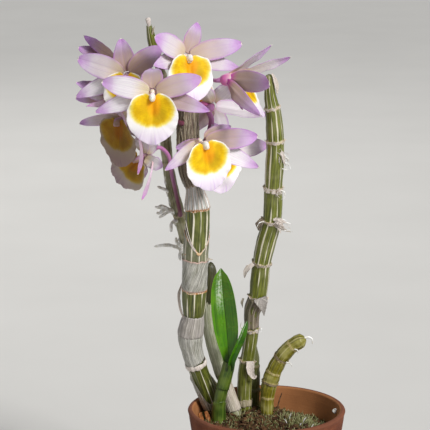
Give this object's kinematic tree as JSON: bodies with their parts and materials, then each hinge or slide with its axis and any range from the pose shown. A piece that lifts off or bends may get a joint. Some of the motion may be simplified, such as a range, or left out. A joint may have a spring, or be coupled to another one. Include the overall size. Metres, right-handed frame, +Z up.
{
  "type": "potted orchid",
  "caption": "Flowering dendrobium orchid with jointed canes, a new leafy shoot and a head of round-lipped flowers, growing in a small terracotta pot.",
  "frame": {"origin": "centre of the pot's underside", "axes": "+Z up along the pot and the canes, -Y towards the viewer that most flowers face, +X to the right"},
  "size_m": [0.1149, 0.0752, 0.2288],
  "materials": {
    "terracotta": "unglazed fired clay with pale mineral bloom and a little algae",
    "bark_and_moss": "loose bark pieces with green moss",
    "green_cane": "living cane, olive green with pale lengthwise lines",
    "old_cane": "older cane, pale and papery",
    "green_shoot": "fresh green shoot",
    "leaf": "glossy leaf",
    "dry_sheath": "papery silver sheath",
    "brown_sheath": "dry brown ribbed sheath",
    "tepals": "satin petal, white shading to lavender tips",
    "lip": "velvety petal, golden yellow with a white margin"
  },
  "bodies": {
    "root": {"cane_back": "old_cane", "cane_main": "green_cane", "cane_right": "green_cane", "cane_small": "green_cane", "cane_stub": "old_cane", "cane_tall": "old_cane", "flower_back": "tepals", "flower_behind_right": "tepals", "flower_far_left": "tepals", "flower_front": "tepals", "flower_left": "tepals", "flower_low_left": "tepals", "flower_low_right": "tepals", "flower_lowest_left": "tepals", "flower_right": "tepals", "flower_top": "tepals", "flower_upper_left": "tepals", "leaf_large": "leaf", "leaf_small": "leaf", "lip_back": "lip", "lip_behind_right": "lip", "lip_far_left": "lip", "lip_front": "lip", "lip_left": "lip", "lip_low_left": "lip", "lip_low_right": "lip", "lip_lowest_left": "lip", "lip_right": "lip", "lip_top": "lip", "lip_upper_left": "lip", "new_shoot": "green_shoot", "pot": "terracotta", "potting_medium": "bark_and_moss", "sheath_brown": "brown_sheath", "sheath_lower": "dry_sheath", "sheath_middle": "dry_sheath", "sheath_silver": "dry_sheath"}
  },
  "joints": []
}
